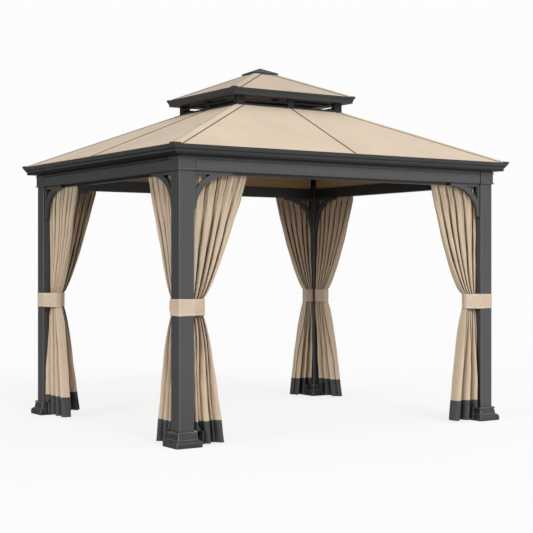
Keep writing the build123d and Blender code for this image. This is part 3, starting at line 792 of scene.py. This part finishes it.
def make_strap(corner, seed):
    rng = np.random.default_rng(seed)
    sx, sy = CORNERS[corner]
    near, far = BUNDLE_OUTER, BUNDLE_INNER
    x_end = POST + RUNS[sy, "x"][1]
    y_end = POST + RUNS[sy, "y"][1]
    corners = [
        (POST + 0.004, far),
        (x_end, far),
        (x_end, near),
        (POST, 0),
        (0, 0),
        (0, POST),
        (near, y_end),
        (far, y_end),
        (far, POST + 0.004),
    ]
    radii = [0, 0.018, 0.018, 0.010, 0.0065, 0.010, 0.018, 0.018, 0]
    path, at = rounded_path(corners, radii, 0.006)
    step = np.gradient(path, axis=0)
    step = step / np.linalg.norm(step, axis=1)[:, None]
    middle = np.array([far * 0.5, far * 0.5])
    normal = np.stack([step[:, 1], -step[:, 0]], axis=1)
    if float(((path - middle) * normal).sum()) < 0:
        normal = -normal
    heights = np.linspace(BAND_LOW, BAND_HIGH, 29)
    first = (path[:, 0] > POST) & (path[:, 0] < x_end - 0.02) & (path[:, 1] < near)
    second = (path[:, 1] > POST) & (path[:, 1] < y_end - 0.02) & (path[:, 0] < near)
    free = np.convolve((first | second).astype(float), np.ones(9) / 9, mode="same")
    points = np.zeros((len(heights), len(at), 3))
    flat = np.zeros((len(heights), len(at), 2))
    phases = rng.uniform(0, 2 * math.pi, 4)
    for number, height in enumerate(heights):
        rise = height - BAND_LOW
        edge = min(rise, STRAP_HEIGHT - rise)
        doubled = 0.0012 * float(smooth(0.018, 0.013, edge))
        rounded = 0.0008 * float(smooth(0.004, 0.0, edge))
        out = 0.0022 + doubled - rounded
        pull = 0.0030 * np.sin(at * 34 + rise * 42 + phases[0])
        pull = pull * np.sin(at * 17 - rise * 25 + phases[1])
        crown = 0.0045 * math.sin(math.pi * rise / STRAP_HEIGHT)
        away = out + free * (crown + np.abs(pull)) + 0.0006 * np.sin(at * 90 + phases[2]) ** 2
        place = path + normal * away[:, None]
        points[number, :, 0] = sx * (HALF_X - place[:, 0])
        points[number, :, 1] = sy * (HALF_Y - place[:, 1])
        sway = 0.0022 * np.sin(at * 11 + phases[3]) * (edge < 0.01)
        points[number, :, 2] = height + np.where(rise < 0.01, np.abs(sway), -np.abs(sway))
        flat[number, :, 0] = at + 1.0
        flat[number, :, 1] = rise
    strap = mesh_sheet(f"strap_{corner}", points, flat, band_cloth, STRAP_THICK)
    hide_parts(f"tie_band_{corner}")
    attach(strap, "root")


for number, corner in enumerate(CORNERS):
    make_curtain(corner, False, 11 + number)
    make_curtain(corner, True, 31 + number)
    make_strap(corner, 51 + number)


# Dark beads beside the hip covers, whose colour paints the shadow lines along the covers' edges


def bead(name, lines, radius, material):
    """Low rounded beads that lie along straight lines on the roof."""
    verts, faces = [], []
    count, arc = 25, 7
    for start, stop, lift in lines:
        start, stop, lift = Vector(start), Vector(stop), Vector(lift).normalized()
        side = (stop - start).normalized().cross(lift).normalized()
        for number in range(count):
            share = number / (count - 1)
            centre = start.lerp(stop, share)
            wobble = 1 + 0.12 * math.sin(number * 1.9) + 0.07 * math.sin(number * 4.3)
            first = len(verts)
            for step in range(arc):
                angle = math.pi * step / (arc - 1)
                verts.append(
                    centre
                    + side * math.cos(angle) * radius * wobble
                    + lift * (math.sin(angle) * radius * 0.90 + 0.0002)
                )
            if number:
                for step in range(arc - 1):
                    a = first - arc + step
                    faces.append((a, a + 1, a + arc + 1, a + arc))
                faces.append((first - arc, first, first + arc - 1, first - 1))
            else:
                faces.append(tuple(range(first, first + arc)))
        faces.append(tuple(range(len(verts) - 1, len(verts) - arc - 1, -1)))
    mesh = bpy.data.meshes.new(name)
    mesh.from_pydata([tuple(v) for v in verts], [], faces)
    mesh.polygons.foreach_set("use_smooth", np.ones(len(faces), bool))
    mesh.materials.append(material)
    mesh.update()
    piece = bpy.data.objects.new(name, mesh)
    bpy.context.scene.collection.objects.link(piece)
    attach(piece, "root")


def hip_lines(outer, inner, outer_z, inner_z, half_width, stop):
    """Lines on both sides of the hips of a roof, each with the normal of the face it lies on."""
    lines = []
    run = (outer[0] - inner[0], outer[1] - inner[1])
    length = math.hypot(*run)
    rise = inner_z - outer_z
    for signs in CORNERS.values():
        for axis in (0, 1):
            shift = half_width * length / run[1 - axis]
            ends = []
            for plan, height in ((outer, outer_z), (inner, inner_z)):
                point = [signs[0] * plan[0], signs[1] * plan[1], height]
                point[axis] -= signs[axis] * shift
                ends.append(Vector(point))
            lift = [0.0, 0.0, 1.0]
            lift[1 - axis] = signs[1 - axis] * rise / run[1 - axis]
            lines.append((ends[0].lerp(ends[1], 0.004), ends[0].lerp(ends[1], stop), lift))
    return lines


lower_hips = hip_lines(
    LOWER_EAVE, LOWER_RING, LOWER_EAVE_Z, LOWER_RING_Z, COVER_HALF_WIDTH, stop=0.996
)
upper_hips = hip_lines(
    UPPER_EAVE, UPPER_PEAK, UPPER_EAVE_Z, UPPER_PEAK_Z, COVER_HALF_WIDTH, stop=0.80
)
bead("hip_beads_lower", lower_hips, 0.0042, bead_shade_metal)
bead("hip_beads_upper", upper_hips, 0.0040, bead_shade_metal)


# Floor, light and camera


def seen_rays(tree):
    """One for the rays that see the pale backdrop, and one for the glossy rays among them."""
    rays = add(tree, "ShaderNodeLightPath")
    glossy = rays.outputs["Is Glossy Ray"]
    seen = maths(tree, "MAXIMUM", rays.outputs["Is Camera Ray"], rays.outputs["Is Transmission Ray"])
    return maths(tree, "MAXIMUM", seen, glossy), glossy


floor_mesh = bpy.data.meshes.new("floor")
floor_mesh.from_pydata([(-60, -60, 0), (60, -60, 0), (60, 60, 0), (-60, 60, 0)], [], [(0, 1, 2, 3)])
floor = bpy.data.objects.new("floor", floor_mesh)
bpy.context.scene.collection.objects.link(floor)
floor_material, tree, shader, output = blank("floor")
shader.inputs["Base Color"].default_value = rgb(0.46, 0.45, 0.44)
shader.inputs["Roughness"].default_value = 0.9
shader.inputs["Specular IOR Level"].default_value = 0.1
seen, glossy = seen_rays(tree)
place = add(tree, "ShaderNodeTexCoord").outputs["Object"]
mirrored = ramp(tree, dot(tree, place, (*BRIGHT_SIDE, 0.0)), -1.0, 3.0, 0.10, 0.80)
pale_level = blend(tree, glossy, rgb(0.79, 0.79, 0.79), mirrored)
shade = add(tree, "ShaderNodeBsdfDiffuse", {"Color": rgb(0.20, 0.20, 0.20)})
pale_part = add(tree, "ShaderNodeEmission", {"Color": pale_level, "Strength": 1.0})
shown = add(tree, "ShaderNodeAddShader", {0: pale_part.outputs[0], 1: shade.outputs[0]})
floor_mix = add(tree, "ShaderNodeMixShader", {0: seen, 1: shader.outputs[0], 2: shown.outputs[0]})
tree.links.new(floor_mix.outputs[0], output.inputs[0])
floor_mesh.materials.append(floor_material)

world = bpy.data.worlds.new("studio")
bpy.context.scene.world = world
world.use_nodes = True
tree = world.node_tree
tree.nodes.clear()
seen, glossy = seen_rays(tree)
way = add(tree, "ShaderNodeTexCoord").outputs["Generated"]
level = ramp(tree, dot(tree, way, (*BRIGHT_SIDE, 0.22)), -0.9, 0.95, 0.10, 1.0)
room = add(tree, "ShaderNodeBackground", {"Color": rgb(1.0, 1.0, 1.0), "Strength": level})
mirrored = blend(tree, glossy, rgb(1.0, 1.0, 1.0), level)
backdrop = add(tree, "ShaderNodeBackground", {"Color": rgb(0.98, 0.98, 0.98), "Strength": mirrored})
mixed = add(tree, "ShaderNodeMixShader", {0: seen, 1: room.outputs[0], 2: backdrop.outputs[0]})
add(tree, "ShaderNodeOutputWorld", {0: mixed.outputs[0]})


def sun(name, towards, strength, angle):
    lamp = bpy.data.lights.new(name, "SUN")
    lamp.energy = strength
    lamp.angle = math.radians(angle)
    made = bpy.data.objects.new(name, lamp)
    made.rotation_euler = Vector(towards).to_track_quat("Z", "Y").to_euler()
    bpy.context.scene.collection.objects.link(made)


sun("key", (-0.10, -0.85, 0.58), 1.10, 22)
sun("fill", (-0.95, -0.20, 0.28), 1.14, 35)

camera_data = bpy.data.cameras.new("camera")
camera_data.sensor_width = SENSOR
camera_data.lens = SENSOR * PHOTO_FOCAL / PHOTO_WIDTH
camera_data.shift_y = (PHOTO_CENTRE_Y - PHOTO_WIDTH / 2) / PHOTO_WIDTH
camera_data.clip_end = 200.0
camera = bpy.data.objects.new("camera", camera_data)
camera.location = CAMERA_PLACE
camera.rotation_euler = (math.pi / 2, 0.0, CAMERA_TURN)
bpy.context.scene.collection.objects.link(camera)
bpy.context.scene.camera = camera
bpy.context.scene.view_settings.view_transform = "Standard"
